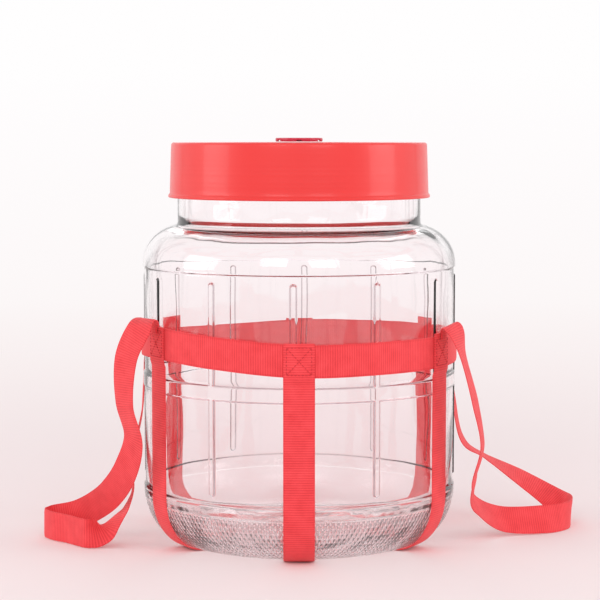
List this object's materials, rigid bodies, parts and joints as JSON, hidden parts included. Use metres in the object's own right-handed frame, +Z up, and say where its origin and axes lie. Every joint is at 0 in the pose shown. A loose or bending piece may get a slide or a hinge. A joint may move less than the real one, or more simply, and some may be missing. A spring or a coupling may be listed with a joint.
{
  "type": "fermentation jar",
  "caption": "Wide-mouth ribbed glass fermentation jar with a red screw lid, an airlock set in the lid, and a red webbing harness with limp hand loops.",
  "frame": {"origin": "on the floor under the middle of the jar, on the underside of the crossing straps", "axes": "+Z up along the jar's axis, -Y towards the side with one upright strap in the middle, X from one hand loop to the other"},
  "size_m": [0.4713, 0.276, 0.3477],
  "materials": {
    "glass": "clear pressed glass with a stippled heel",
    "lid_plastic": "red moulded plastic, half gloss",
    "cap_plastic": "dark red moulded plastic",
    "clear_plastic": "pale see-through plastic",
    "rubber": "soft pale rubber",
    "webbing": "woven tape, red"
  },
  "bodies": {
    "harness": {"waist_band": "webbing", "strap_front_back": "webbing", "strap_left_to_rear": "webbing", "strap_right_to_rear": "webbing"},
    "jar": {"glass_jar": "glass"},
    "gasket": {"lid_gasket": "rubber"},
    "lid": {"screw_lid": "lid_plastic", "airlock_grommet": "rubber", "airlock_cup": "clear_plastic"},
    "bell": {"airlock_bell": "clear_plastic"},
    "cap": {"airlock_cap": "cap_plastic"},
    "loop_left": {"handle_left": "webbing"},
    "loop_right": {"handle_right": "webbing"}
  },
  "joints": [
    {"name": "jar_lift", "type": "slide", "parent": "harness", "child": "jar", "axis": [0, 0, 1], "range_m": [0, 0.2]},
    {"name": "lid_lift", "type": "slide", "parent": "jar", "child": "gasket", "axis": [0, 0, 1], "range_m": [0, 0.048]},
    {"name": "lid_turn", "type": "hinge", "parent": "gasket", "child": "lid", "pos_m": [0, 0, 0.3], "axis": [0, 0, 1], "range_deg": [0, 720]},
    {"name": "bell_rise", "type": "slide", "parent": "lid", "child": "bell", "axis": [0, 0, 1], "range_m": [0, 0.0034]},
    {"name": "cap_lift", "type": "slide", "parent": "lid", "child": "cap", "axis": [0, 0, 1], "range_m": [0, 0.03]},
    {"name": "loop_left_swing", "type": "hinge", "parent": "harness", "child": "loop_left", "pos_m": [-0.128, 0, 0.192], "axis": [0, 1, 0], "range_deg": [0, 110]},
    {"name": "loop_right_swing", "type": "hinge", "parent": "harness", "child": "loop_right", "pos_m": [0.128, 0, 0.192], "axis": [0, -1, 0], "range_deg": [0, 110]}
  ],
  "couplings": [
    {"joint": "lid_lift", "follows": "lid_turn", "m_per_rad": 0.0038197}
  ]
}
